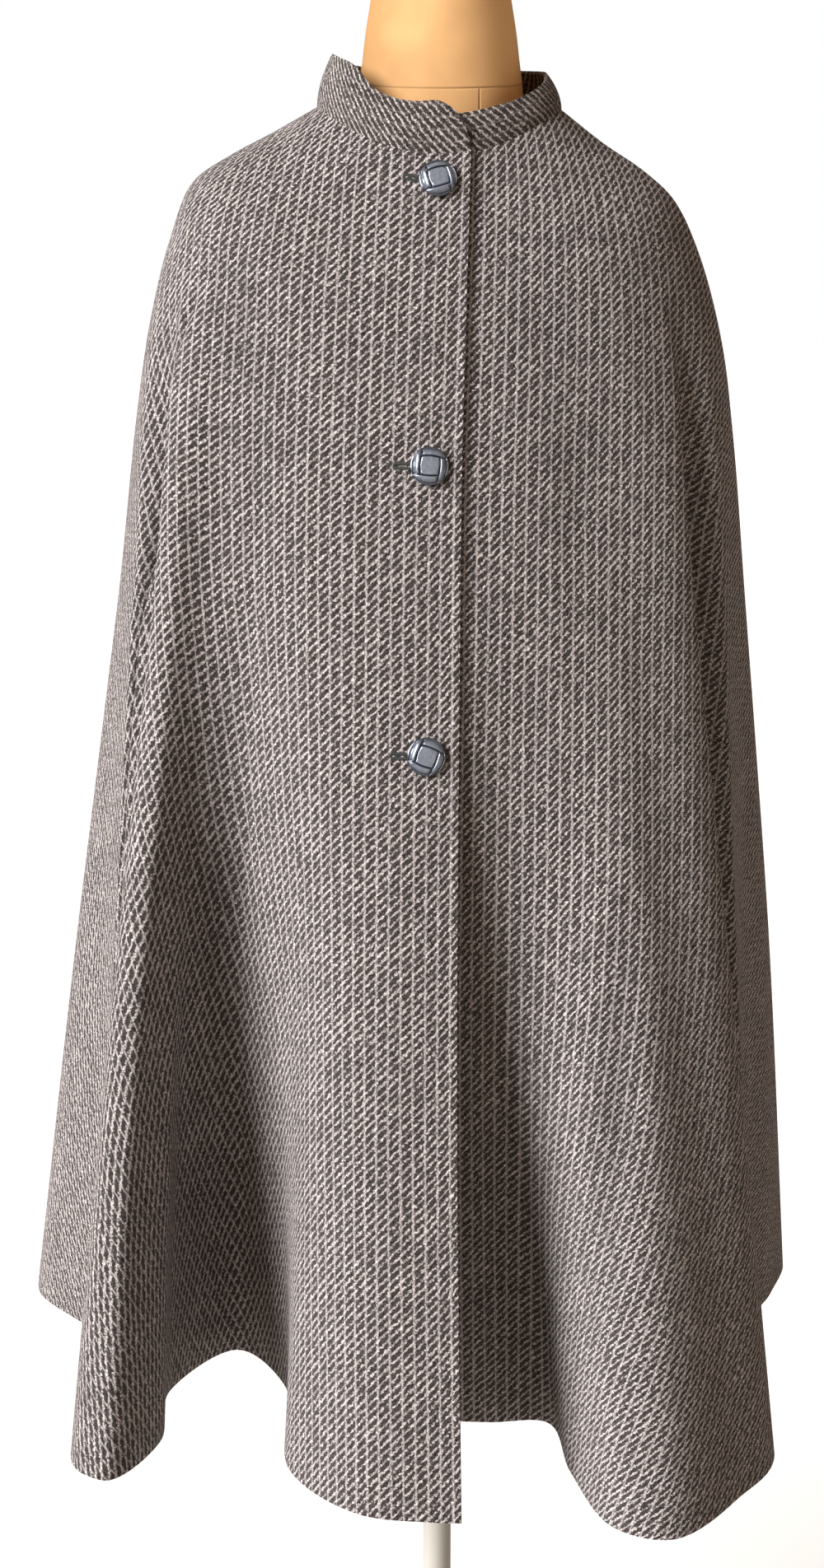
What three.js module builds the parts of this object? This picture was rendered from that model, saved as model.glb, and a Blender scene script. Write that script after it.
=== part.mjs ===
// Wool cape coat with a stand collar and three buttons, worn by a limbless dress form on a pole stand.
// Millimetres, +Z up, the front faces -Y, the floor is z = 0. Left and right are as seen from the front.
import * as THREE from 'three';

// Cloth
const HEM_HEIGHT = 500;
const CLOTH_WALL = 2.6;
const COLLAR_WALL = 3;
const SEAM_GAP = 0.3;

// Front closing: both fronts reach past the centre line. At the lap the under front lies this far inside the over
// front, and it comes level with it between these distances from the centre line.
const LAP_DROP = 3.5;
const LAP_FADE = { from: 28, to: 85 };

// Half widths, depths and heights of the garment, from the neck seam (at 0) to the hem (at 1)
const SECTIONS = [
  {
    at: 0.000, left: 86, right: 84, front: 82, back: 64, centre: -2,
    zFront: 1374, zLeft: 1408, zRight: 1406, zBack: 1412,
  },
  {
    at: 0.037, left: 117, right: 113, front: 95, back: 79, centre: -3,
    zFront: 1343, zLeft: 1391, zRight: 1384, zBack: 1388,
  },
  {
    at: 0.074, left: 148, right: 142, front: 107, back: 92, centre: -4,
    zFront: 1312, zLeft: 1375, zRight: 1365, zBack: 1355,
  },
  {
    at: 0.104, left: 173, right: 163, front: 117, back: 101, centre: -5,
    zFront: 1287, zLeft: 1358, zRight: 1346, zBack: 1328,
  },
  {
    at: 0.145, left: 189, right: 181, front: 129, back: 112, centre: -6,
    zFront: 1252, zLeft: 1322, zRight: 1311, zBack: 1291,
  },
  {
    at: 0.216, left: 207, right: 200, front: 147, back: 129, centre: -8,
    zFront: 1190, zLeft: 1256, zRight: 1246, zBack: 1225,
  },
  {
    at: 0.276, left: 217, right: 209, front: 160, back: 142, centre: -9,
    zFront: 1137, zLeft: 1198, zRight: 1189, zBack: 1169,
  },
  {
    at: 0.400, left: 232, right: 223, front: 183, back: 166, centre: -10,
    zFront: 1027, zLeft: 1079, zRight: 1074, zBack: 1053,
  },
  {
    at: 0.526, left: 250, right: 238, front: 206, back: 190, centre: -11,
    zFront: 916, zLeft: 957, zRight: 955, zBack: 936,
  },
  {
    at: 0.700, left: 275, right: 258, front: 240, back: 224, centre: -12,
    zFront: 762, zLeft: 788, zRight: 788, zBack: 773,
  },
  {
    at: 1, left: 314, right: 286, front: 296, back: 285,
    zFront: HEM_HEIGHT, zLeft: HEM_HEIGHT, zRight: HEM_HEIGHT, zBack: HEM_HEIGHT, centre: -10,
  },
];

// Crests, flanks and valleys of the folds at the hem, from the under front's edge round the back to the over
// front's edge. start is where, on the way down from the neck seam, the cloth begins to swing out or in.
const FOLDS = [
  { name: 'under edge', x: -30, y: -176, start: 0.40 },
  { name: 'under centre', x: -9, y: -177, start: 0.40 },
  { name: 'under recess', x: 35, y: -180, start: 0.38 },
  { name: 'recess side', x: 75, y: -176, start: 0.34 },
  { name: 'right fold inner flank', x: 88, y: -246, start: 0.28 },
  { name: 'right fold inner crest', x: 112, y: -317, start: 0.24 },
  { name: 'right fold', x: 148, y: -331, start: 0.22 },
  { name: 'right fold outer flank', x: 200, y: -276, start: 0.20 },
  { name: 'right fold end', x: 234, y: -206, start: 0.16 },
  { name: 'right valley', x: 222, y: -56, start: 0.16 },
  { name: 'right side', x: 266, y: 35, start: 0.20 },
  { name: 'right seam', x: 283, y: 105, start: 0.22 },
  { name: 'back right valley', x: 232, y: 155, start: 0.26 },
  { name: 'back right crest out', x: 222, y: 258, start: 0.26 },
  { name: 'back right crest in', x: 162, y: 286, start: 0.26 },
  { name: 'back right recess', x: 118, y: 208, start: 0.28 },
  { name: 'back middle right flank', x: 64, y: 238, start: 0.28 },
  { name: 'back middle crest right', x: 40, y: 316, start: 0.26 },
  { name: 'back middle crest left', x: -26, y: 320, start: 0.26 },
  { name: 'back middle left flank', x: -62, y: 234, start: 0.28 },
  { name: 'back left recess', x: -120, y: 212, start: 0.28 },
  { name: 'back left crest in', x: -170, y: 288, start: 0.26 },
  { name: 'back left crest out', x: -236, y: 258, start: 0.26 },
  { name: 'back left valley', x: -250, y: 158, start: 0.26 },
  { name: 'left seam', x: -314, y: 100, start: 0.22 },
  { name: 'left side', x: -318, y: 40, start: 0.18 },
  { name: 'left valley', x: -248, y: -64, start: 0.12 },
  { name: 'left fold outer flank', x: -264, y: -186, start: 0.10 },
  { name: 'left fold', x: -226, y: -256, start: 0.10 },
  { name: 'left fold inner flank', x: -196, y: -205, start: 0.12 },
  { name: 'left recess flank', x: -196, y: -128, start: 0.16 },
  { name: 'left recess', x: -152, y: -64, start: 0.20 },
  { name: 'left recess end', x: -113, y: -122, start: 0.24 },
  { name: 'front bulge flank', x: -103, y: -244, start: 0.28 },
  { name: 'front bulge', x: -55, y: -300, start: 0.34 },
  { name: 'over centre', x: -9, y: -310, start: 0.38 },
  { name: 'over edge', x: 12, y: -311, start: 0.38 },
];

// How finely each panel is divided, across and down
const SHOULDER_LEVELS = [0, 0.037, 0.074, 0.104, 0.145];
const PANEL_LEVELS = [...SHOULDER_LEVELS, 0.2, 0.26, 0.33, 0.4, 0.48, 0.56, 0.64, 0.72, 0.79, 0.86, 0.93, 1];
const OVER_COLUMNS = 40;
const UNDER_COLUMNS = 32;
const BACK_COLUMNS = 44;
const STAND_COLUMNS = 2;

// Collar height and inward lean around the neck: degrees from the front, turning to the right
const COLLAR_TURN = [
  { angle: 0, height: 28, lean: 5 },
  { angle: 45, height: 29, lean: 7 },
  { angle: 90, height: 29, lean: 11 },
  { angle: 135, height: 27, lean: 8 },
  { angle: 180, height: 27, lean: 3 },
  { angle: 225, height: 32, lean: 4 },
  { angle: 270, height: 36, lean: 5 },
  { angle: 315, height: 36, lean: 7 },
  { angle: 360, height: 36, lean: 7 },
];
const COLLAR_COLUMNS = 60;
const COLLAR_LEVELS = [0, 0.35, 0.7, 0.92, 1];
const COLLAR_CORNER = { width: 27, lowest: 3 };
const COLLAR_CORNER_SHARES = [0.25, 0.5, 0.75, 0.92, 1];

// Buttons on the centre line of the over front, by their height above the floor
const BUTTON_HEIGHTS = { button_top: 1357, button_middle: 1173, button_bottom: 987 };
const BUTTON = { radius: 12.7, chamfer: 0.8, rim: 2.6, height: 6.2, flat: 6.4, sides: 32 };
const BUTTON_DOME = { inset: 1.2, rise: 1.4, drop: 0.9 };

// Dress form: rings of the neck above the shoulders and of the torso below them
const FORM_NECK = [
  { half: 40, front: 41, back: 41, zFront: 1507, zSide: 1508, zBack: 1509 },
  { half: 45.5, front: 47, back: 46, zFront: 1500, zSide: 1502, zBack: 1504 },
  { half: 48, front: 50, back: 50, zFront: 1478, zSide: 1482, zBack: 1485 },
  { half: 52, front: 53, back: 53, zFront: 1450, zSide: 1458, zBack: 1462 },
  { half: 56, front: 57, back: 56, zFront: 1410, zSide: 1428, zBack: 1436 },
  { half: 60, front: 61, back: 58, zFront: 1385, zSide: 1409, zBack: 1421 },
];
const FORM_TORSO = [
  { half: 166, front: 121, back: 100, zFront: 1228, zSide: 1228, zBack: 1228 },
  { half: 152, front: 126, back: 96, zFront: 1180, zSide: 1180, zBack: 1180 },
  { half: 128, front: 98, back: 84, zFront: 1060, zSide: 1060, zBack: 1060 },
  { half: 122, front: 90, back: 82, zFront: 1010, zSide: 1010, zBack: 1010 },
  { half: 150, front: 98, back: 100, zFront: 880, zSide: 880, zBack: 880 },
  { half: 160, front: 102, back: 108, zFront: 810, zSide: 810, zBack: 810 },
  { half: 156, front: 99, back: 104, zFront: 772, zSide: 772, zBack: 772 },
];
const FORM_GAP = 0.5;
const FORM_BOTTOM = 760;
const FORM_SIDES = 44;
const FORM_TOP_RISE = 3;
const FORM_STEP = { turn: 0.5, level: 0.002 };

// Stand
const POLE = { radius: 11, sides: 24 };
const BASE = { radius: 175, height: 14, hub: 22, hubHeight: 34, sides: 48 };
const BASE_ROUNDING = { under: 3, side: 6, top: 8, crown: 2, hubFoot: 6, hubChamfer: 4, hubInset: 5 };

// Finishes
const wool = new THREE.MeshStandardMaterial({ color: 0x857b74, roughness: 0.95, metalness: 0 });
const collarWool = new THREE.MeshStandardMaterial({ color: 0x7d736c, roughness: 0.95, metalness: 0 });
const buttonPlastic = new THREE.MeshStandardMaterial({ color: 0x6b7480, roughness: 0.25, metalness: 0.3 });
const formCanvas = new THREE.MeshStandardMaterial({ color: 0xdcb47c, roughness: 0.6, metalness: 0 });
const standPaint = new THREE.MeshStandardMaterial({ color: 0xe9e4d8, roughness: 0.45, metalness: 0 });

const part = new THREE.Group();

// Small curve helpers
const smooth = (low, high, value) => THREE.MathUtils.smoothstep(value, low, high);

function curveThrough(rows, key, columns) {
  const positions = rows.map((row) => row[key]);
  const values = rows.flatMap((row) => columns.map((column) => row[column]));
  return new THREE.CubicInterpolant(positions, values, columns.length);
}

const SECTION_COLUMNS = ['left', 'right', 'front', 'back', 'zFront', 'zLeft', 'zRight', 'zBack', 'centre'];
const sectionCurve = curveThrough(SECTIONS, 'at', SECTION_COLUMNS);

// The hem as one curve. Its third coordinate carries where the fold starts.
const HEM_STEPS = 60;
const hem = new THREE.CatmullRomCurve3(
  FOLDS.map(({ x, y, start }) => new THREE.Vector3(x, y, start)),
  false,
  'centripetal',
);
hem.arcLengthDivisions = (FOLDS.length - 1) * HEM_STEPS;
const hemLengths = hem.getLengths();
const hemLength = hemLengths[hemLengths.length - 1];

function placeOnHem(name) {
  return hemLengths[FOLDS.findIndex((fold) => fold.name === name) * HEM_STEPS] / hemLength;
}

const UNDER_CENTRE = placeOnHem('under centre');
const RIGHT_SEAM = placeOnHem('right seam');
const LEFT_SEAM = placeOnHem('left seam');
const OVER_CENTRE = placeOnHem('over centre');

// Where the cloth at each place on the hem starts at the neck, in degrees from the front
const neckAngle = curveThrough([
  { along: UNDER_CENTRE, angle: 0 },
  { along: RIGHT_SEAM, angle: 97 },
  { along: LEFT_SEAM, angle: 263 },
  { along: OVER_CENTRE, angle: 360 },
], 'along', ['angle']);

// A point of the garment without its folds. A lap strip has angle 0 and lies shift to the side of the centre.
function ovalPoint(angle, shift, down) {
  const [left, right, front, back, zFront, zLeft, zRight, zBack, centre] = sectionCurve.evaluate(down);
  const turn = THREE.MathUtils.degToRad(angle);
  const half = Math.sin(turn) + shift < 0 ? left : right;
  const side = shift === 0 ? Math.sin(turn) : shift / half;
  const ahead = shift === 0 ? Math.cos(turn) : Math.sqrt(1 - side * side);
  const depth = ahead > 0 ? front : back;
  const zEnd = ahead > 0 ? zFront : zBack;
  const zSide = side < 0 ? zLeft : zRight;
  const lean = ahead > 0 ? centre * ahead * ahead : 0;
  return new THREE.Vector3(
    half * side + lean,
    -depth * ahead,
    zEnd * ahead * ahead + zSide * side * side,
  );
}

// A point of the outer face: along runs round the hem from 0 to 1, down from the neck seam to the hem
function clothPoint(along, down) {
  const place = THREE.MathUtils.clamp(along, UNDER_CENTRE, OVER_CENTRE);
  const angle = neckAngle.evaluate(place)[0];
  const shift = (along - place) * hemLength;
  const point = ovalPoint(angle, shift, down);
  const plain = ovalPoint(angle, shift, 1);
  const crest = hem.getPointAt(along);
  const run = Math.max(0, (down - crest.z) / (1 - crest.z));
  const swing = run * run * (3 - run) / 2;
  point.x += (crest.x - plain.x) * swing;
  point.y += (crest.y - plain.y) * swing;
  return point;
}

const DIFFERENCE = 0.0005;

function clothNormal(along, down) {
  const a0 = Math.max(0, along - DIFFERENCE);
  const a1 = Math.min(1, along + DIFFERENCE);
  const d0 = Math.max(0, down - DIFFERENCE);
  const d1 = Math.min(1, down + DIFFERENCE);
  const across = clothPoint(a1, down).sub(clothPoint(a0, down));
  const downward = clothPoint(along, d1).sub(clothPoint(along, d0));
  return downward.cross(across).normalize();
}

// A point of the cloth at a depth inside the outer face
function clothAt(along, down, depth) {
  return clothPoint(along, down).addScaledVector(clothNormal(along, down), -depth);
}

// How far the under front and the form lie in, to leave room for the lap
function lapDrop(point) {
  if (point.y > 0) return 0;
  return LAP_DROP * (1 - smooth(LAP_FADE.from, LAP_FADE.to, Math.abs(point.x)));
}

// A closed wall between an outer and an inner sheet of points of the same size
function wallGeometry(outer, inner) {
  const across = outer.length;
  const levels = outer[0].length;
  const positions = [];
  for (const sheet of [outer, inner]) {
    for (const column of sheet) column.forEach((point) => positions.push(point.x, point.y, point.z));
  }
  const back = across * levels;
  const at = (i, j) => i * levels + j;
  const index = [];
  const quad = (a, b, c, d) => index.push(a, b, c, a, c, d);
  for (let i = 0; i < across - 1; i += 1) {
    for (let j = 0; j < levels - 1; j += 1) {
      quad(at(i, j), at(i, j + 1), at(i + 1, j + 1), at(i + 1, j));
      quad(back + at(i, j), back + at(i + 1, j), back + at(i + 1, j + 1), back + at(i, j + 1));
    }
    quad(at(i, 0), at(i + 1, 0), back + at(i + 1, 0), back + at(i, 0));
    quad(at(i, levels - 1), back + at(i, levels - 1), back + at(i + 1, levels - 1), at(i + 1, levels - 1));
  }
  for (let j = 0; j < levels - 1; j += 1) {
    quad(at(0, j), back + at(0, j), back + at(0, j + 1), at(0, j + 1));
    quad(at(across - 1, j), at(across - 1, j + 1), back + at(across - 1, j + 1), back + at(across - 1, j));
  }
  const geometry = new THREE.BufferGeometry();
  geometry.setAttribute('position', new THREE.Float32BufferAttribute(positions, 3));
  geometry.setIndex(index);
  geometry.computeVertexNormals();
  return geometry;
}

function addMesh(name, geometry, material) {
  const mesh = new THREE.Mesh(geometry, material);
  mesh.name = name;
  part.add(mesh);
  return mesh;
}

// The places of a panel's columns: its lap strip has its own, the rest are even
function columnPlaces(from, to, count, strips) {
  const start = strips.before ?? from;
  const end = strips.after ?? to;
  const places = [];
  if (start > from) {
    for (let i = 0; i < STAND_COLUMNS; i += 1) places.push(from + (start - from) * (i / STAND_COLUMNS));
  }
  for (let i = 0; i <= count; i += 1) places.push(start + (end - start) * (i / count));
  if (end < to) {
    for (let i = 1; i <= STAND_COLUMNS; i += 1) places.push(end + (to - end) * (i / STAND_COLUMNS));
  }
  return places;
}

// A cape panel. At a side seam it stops half the seam gap short of its neighbour.
function addPanel({ name, from, to, columns, strips = {}, drop = () => 0 }) {
  const speed = (along, down) => clothPoint(along + DIFFERENCE, down)
    .distanceTo(clothPoint(along - DIFFERENCE, down)) / (2 * DIFFERENCE);
  const inset = (along, down) => {
    const atSeam = along === RIGHT_SEAM || along === LEFT_SEAM;
    if (!atSeam || (along !== from && along !== to)) return along;
    const step = SEAM_GAP / 2 / speed(along, down);
    return along === from ? along + step : along - step;
  };
  const places = columnPlaces(from, to, columns, strips);
  const sheet = (depth) => places.map((place) => PANEL_LEVELS.map((down) => {
    const along = inset(place, down);
    return clothAt(along, down, depth + drop(clothPoint(along, down)));
  }));
  addMesh(name, wallGeometry(sheet(0), sheet(CLOTH_WALL)), wool);
}

addPanel({
  name: 'cape_front_under',
  from: 0,
  to: RIGHT_SEAM,
  columns: UNDER_COLUMNS,
  strips: { before: UNDER_CENTRE },
  drop: lapDrop,
});
addPanel({ name: 'cape_back', from: RIGHT_SEAM, to: LEFT_SEAM, columns: BACK_COLUMNS });
addPanel({
  name: 'cape_front_over',
  from: LEFT_SEAM,
  to: 1,
  columns: OVER_COLUMNS,
  strips: { after: OVER_CENTRE },
});

// Stand collar: one band sewn to the neck seam, its over end cut to a round corner
const collarCurve = curveThrough(COLLAR_TURN, 'angle', ['height', 'lean']);

function collarRadial(along) {
  const normal = clothNormal(along, 0);
  normal.z = 0;
  return normal.normalize();
}

function collarPoint(along, level, depth) {
  const place = THREE.MathUtils.clamp(along, UNDER_CENTRE, OVER_CENTRE);
  const [height, lean] = collarCurve.evaluate(neckAngle.evaluate(place)[0]);
  const seam = clothPoint(along, 0);
  const under = along < 0.5 ? lapDrop(seam) : 0;
  const toEdge = clothPoint(1, 0).distanceTo(seam);
  const turn = along > 0.5 ? Math.max(0, 1 - toEdge / COLLAR_CORNER.width) : 0;
  const cut = Math.max(COLLAR_CORNER.lowest, height * Math.sqrt(1 - turn * turn));
  const rise = cut * level;
  const inward = depth + under + lean * (rise / height) ** 2;
  const dropped = under > 0 ? clothAt(along, 0, under).z : seam.z;
  const point = seam.addScaledVector(collarRadial(along), -inward);
  point.z = dropped + SEAM_GAP + rise;
  return point;
}

function addCollar() {
  const places = [0, UNDER_CENTRE / 2];
  for (let i = 0; i <= COLLAR_COLUMNS; i += 1) {
    places.push(UNDER_CENTRE + (OVER_CENTRE - UNDER_CENTRE) * (i / COLLAR_COLUMNS));
  }
  for (const share of COLLAR_CORNER_SHARES) places.push(OVER_CENTRE + (1 - OVER_CENTRE) * share);
  const sheet = (depth) => places.map((place) => (
    [...COLLAR_LEVELS].reverse().map((level) => collarPoint(place, level, depth))
  ));
  addMesh('collar', wallGeometry(sheet(0), sheet(COLLAR_WALL)), collarWool);
}
addCollar();

// The place down the centre of the over front that lies at a height, found by halving
const HALVINGS = 40;

function levelAtHeight(z) {
  let low = 0;
  let high = 1;
  for (let i = 0; i < HALVINGS; i += 1) {
    const middle = (low + high) / 2;
    if (clothPoint(OVER_CENTRE, middle).z > z) low = middle;
    else high = middle;
  }
  return (low + high) / 2;
}

// Buttons: low domes with a flat centre, face down on the cloth of the over front
function addButtons() {
  const { radius, chamfer, rim, height, flat, sides } = BUTTON;
  const { inset, rise, drop } = BUTTON_DOME;
  const profile = [
    [0, 0], [radius - chamfer, 0], [radius, chamfer], [radius, rim], [radius - inset, rim + rise],
    [(radius + flat) / 2, height - drop], [flat, height], [0, height],
  ].map(([x, y]) => new THREE.Vector2(x, y));
  for (const [name, z] of Object.entries(BUTTON_HEIGHTS)) {
    const down = levelAtHeight(z);
    const mesh = addMesh(name, new THREE.LatheGeometry(profile, sides), buttonPlastic);
    mesh.quaternion.setFromUnitVectors(new THREE.Vector3(0, 1, 0), clothNormal(OVER_CENTRE, down));
    mesh.position.copy(clothAt(OVER_CENTRE, down, -SEAM_GAP));
  }
}
addButtons();

// Dress form: neck, shoulders that carry the cape, and torso, as one closed body of rings
function addForm() {
  const rings = [];
  const ovalRing = ({ half, front, back, zFront, zSide, zBack }) => (angle) => {
    const side = Math.sin(angle);
    const ahead = Math.cos(angle);
    const [depth, zEnd] = ahead > 0 ? [front, zFront] : [back, zBack];
    return new THREE.Vector3(half * side, -depth * ahead, zEnd * ahead * ahead + zSide * side * side);
  };
  FORM_NECK.forEach((row) => rings.push(ovalRing(row)));
  for (const down of SHOULDER_LEVELS) {
    rings.push((angle) => {
      const degrees = THREE.MathUtils.radToDeg(angle);
      const at = (turn, level) => ovalPoint(turn, 0, level);
      const point = at(degrees, down);
      const across = at(degrees + FORM_STEP.turn, down).sub(at(degrees - FORM_STEP.turn, down));
      const higher = at(degrees, Math.max(0, down - FORM_STEP.level));
      const downward = at(degrees, down + FORM_STEP.level).sub(higher);
      const normal = downward.cross(across).normalize();
      return point.addScaledVector(normal, -(CLOTH_WALL + FORM_GAP + lapDrop(point)));
    });
  }
  FORM_TORSO.forEach((row) => rings.push(ovalRing(row)));
  const positions = [0, 0, FORM_NECK[0].zSide + FORM_TOP_RISE];
  for (const ring of rings) {
    for (let i = 0; i < FORM_SIDES; i += 1) {
      const point = ring((i / FORM_SIDES) * 2 * Math.PI);
      positions.push(point.x, point.y, point.z);
    }
  }
  positions.push(0, 0, FORM_BOTTOM);
  const at = (ring, i) => 1 + ring * FORM_SIDES + (i % FORM_SIDES);
  const last = rings.length - 1;
  const bottom = 1 + rings.length * FORM_SIDES;
  const index = [];
  for (let i = 0; i < FORM_SIDES; i += 1) {
    index.push(0, at(0, i), at(0, i + 1));
    for (let ring = 0; ring < last; ring += 1) {
      index.push(at(ring, i), at(ring + 1, i), at(ring + 1, i + 1));
      index.push(at(ring, i), at(ring + 1, i + 1), at(ring, i + 1));
    }
    index.push(bottom, at(last, i + 1), at(last, i));
  }
  const geometry = new THREE.BufferGeometry();
  geometry.setAttribute('position', new THREE.Float32BufferAttribute(positions, 3));
  geometry.setIndex(index);
  geometry.computeVertexNormals();
  addMesh('form_body', geometry, formCanvas);
}
addForm();

// Stand: a pole in the hub of a round base plate
function addStand() {
  const { radius, height, hub, hubHeight, sides } = BASE;
  const { under, side, top, crown, hubFoot, hubChamfer, hubInset } = BASE_ROUNDING;
  const profile = [
    [0, 0], [radius - under, 0], [radius, under], [radius, height - side], [radius - top, height],
    [hub + hubFoot, height + crown], [hub, hubHeight - hubChamfer], [hub - hubInset, hubHeight], [0, hubHeight],
  ].map(([x, y]) => new THREE.Vector2(x, y));
  const base = addMesh('stand_base', new THREE.LatheGeometry(profile, sides), standPaint);
  base.rotation.x = Math.PI / 2;
  const bottom = hubHeight + SEAM_GAP;
  const length = FORM_BOTTOM - SEAM_GAP - bottom;
  const tube = new THREE.CylinderGeometry(POLE.radius, POLE.radius, length, POLE.sides);
  const pole = addMesh('stand_pole', tube, standPaint);
  pole.rotation.x = Math.PI / 2;
  pole.position.z = bottom + length / 2;
}
addStand();

// The origin is on the floor, below the middle of the whole part
const box = new THREE.Box3().setFromObject(part);
const centre = box.getCenter(new THREE.Vector3());
part.position.set(-centre.x, -centre.y, 0);

export default part;
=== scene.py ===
import math

import bmesh
import bpy
import numpy as np
from mathutils import Matrix, Vector


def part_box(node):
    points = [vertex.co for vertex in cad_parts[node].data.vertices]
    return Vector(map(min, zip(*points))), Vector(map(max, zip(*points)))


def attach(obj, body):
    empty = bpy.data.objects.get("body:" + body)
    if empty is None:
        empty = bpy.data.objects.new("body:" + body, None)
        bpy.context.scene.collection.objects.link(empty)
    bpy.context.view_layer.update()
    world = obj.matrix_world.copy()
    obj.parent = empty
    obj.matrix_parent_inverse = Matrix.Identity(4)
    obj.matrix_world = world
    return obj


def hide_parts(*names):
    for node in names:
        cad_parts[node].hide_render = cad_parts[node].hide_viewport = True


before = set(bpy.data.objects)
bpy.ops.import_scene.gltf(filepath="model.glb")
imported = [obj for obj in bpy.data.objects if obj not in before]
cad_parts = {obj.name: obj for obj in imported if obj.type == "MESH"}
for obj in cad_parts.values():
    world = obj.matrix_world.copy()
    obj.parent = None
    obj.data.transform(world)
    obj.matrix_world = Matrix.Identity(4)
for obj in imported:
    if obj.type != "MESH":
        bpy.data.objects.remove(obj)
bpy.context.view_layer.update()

# The photograph's camera
# It stands 1.7 m in front of the coat at the height of its chest and looks 13 degrees down.
stand_low, stand_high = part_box("stand_pole")
garment_centre = np.array([(stand_low.x + stand_high.x) / 2, (stand_low.y + stand_high.y) / 2, 0])
camera_data = bpy.data.cameras.new("photo_camera")
camera_data.lens = 53.96
camera_data.sensor_width = 36
camera = bpy.data.objects.new("photo_camera", camera_data)
camera.location = garment_centre + np.array([-0.020, -1.700, 1.317])
camera.rotation_euler = (math.radians(77), 0, 0)
bpy.context.collection.objects.link(camera)
bpy.context.scene.camera = camera

# The studio
# A wide matt pale floor in a white room, with a large soft window light from the left. The camera sees the
# wall and the floor brighter than they light the coat.
def add_node(tree, kind, inputs=(), **settings):
    """A shader node with its settings. Inputs are (socket, value or output socket) pairs."""
    node = tree.nodes.new(kind)
    for name, value in settings.items():
        setattr(node, name, value)
    for socket, value in inputs:
        if isinstance(value, bpy.types.NodeSocket):
            tree.links.new(value, node.inputs[socket])
        else:
            node.inputs[socket].default_value = value
    return node


def new_material(name):
    """A material with its own Principled shader. Returns the material, its node tree and the shader."""
    material = bpy.data.materials.new(name)
    material.use_nodes = True
    tree = material.node_tree
    return material, tree, tree.nodes["Principled BSDF"]


def object_from(bm, name, material=None, smooth=True):
    """The finished bmesh as an object at the origin."""
    mesh = bpy.data.meshes.new(name)
    bm.to_mesh(mesh)
    bm.free()
    piece = bpy.data.objects.new(name, mesh)
    bpy.context.collection.objects.link(piece)
    if material is not None:
        mesh.materials.append(material)
    mesh.polygons.foreach_set("use_smooth", [smooth] * len(mesh.polygons))
    return piece


def vary_roughness(tree, shader, mask, low, high):
    """Roughness that goes from low to high with a mask."""
    rough = add_node(tree, "ShaderNodeMapRange", [("Value", mask), ("To Min", low), ("To Max", high)])
    tree.links.new(rough.outputs["Result"], shader.inputs["Roughness"])


floor_paint, tree, shader = new_material("studio floor")
shader.inputs["Base Color"].default_value = (0.50, 0.475, 0.44, 1)
shader.inputs["Specular IOR Level"].default_value = 0.1
place = add_node(tree, "ShaderNodeTexCoord").outputs["Object"]
grit = add_node(tree, "ShaderNodeTexNoise", [("Vector", place), ("Scale", 30.0)])
vary_roughness(tree, shader, grit.outputs["Fac"], 0.85, 0.95)
seen = add_node(tree, "ShaderNodeLightPath")
backlight = add_node(tree, "ShaderNodeMath", [(0, seen.outputs["Is Camera Ray"]), (1, 0.6)],
                     operation="MULTIPLY")
shader.inputs["Emission Color"].default_value = (1, 1, 1, 1)
tree.links.new(backlight.outputs[0], shader.inputs["Emission Strength"])
bm = bmesh.new()
bmesh.ops.create_circle(bm, cap_ends=True, segments=64, radius=30)
floor = object_from(bm, "studio_floor", floor_paint, smooth=False)

world = bpy.data.worlds.new("white room")
bpy.context.scene.world = world
world.use_nodes = True
room = world.node_tree
room_light = room.nodes["Background"]
room_light.inputs["Color"].default_value = (1.0, 0.72, 0.48, 1)
room_light.inputs["Strength"].default_value = 0.245
wall = add_node(room, "ShaderNodeBackground", [("Color", (1.0, 1.0, 1.0, 1)), ("Strength", 1.0)])
seen = add_node(room, "ShaderNodeLightPath")
either = add_node(room, "ShaderNodeMixShader", [(0, seen.outputs["Is Camera Ray"]),
                                                (1, room_light.outputs[0]), (2, wall.outputs[0])])
room.links.new(either.outputs[0], room.nodes["World Output"].inputs["Surface"])
bpy.context.scene.view_settings.view_transform = "Standard"


def soft_sun(name, azimuth, elevation, strength, angle, colour):
    """A broad soft light from an azimuth (degrees to the right of the camera) and an elevation."""
    lamp_data = bpy.data.lights.new(name, "SUN")
    lamp_data.energy = strength
    lamp_data.angle = math.radians(angle)
    lamp_data.color = colour
    lamp = bpy.data.objects.new(name, lamp_data)
    turn, rise = math.radians(azimuth), math.radians(elevation)
    source = Vector((math.sin(turn) * math.cos(rise), -math.cos(turn) * math.cos(rise), math.sin(rise)))
    lamp.rotation_euler = source.to_track_quat("Z", "Y").to_euler()
    bpy.context.collection.objects.link(lamp)


soft_sun("window_light", -58, 29, 7.0, 36, (0.96, 0.98, 1.0))

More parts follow.
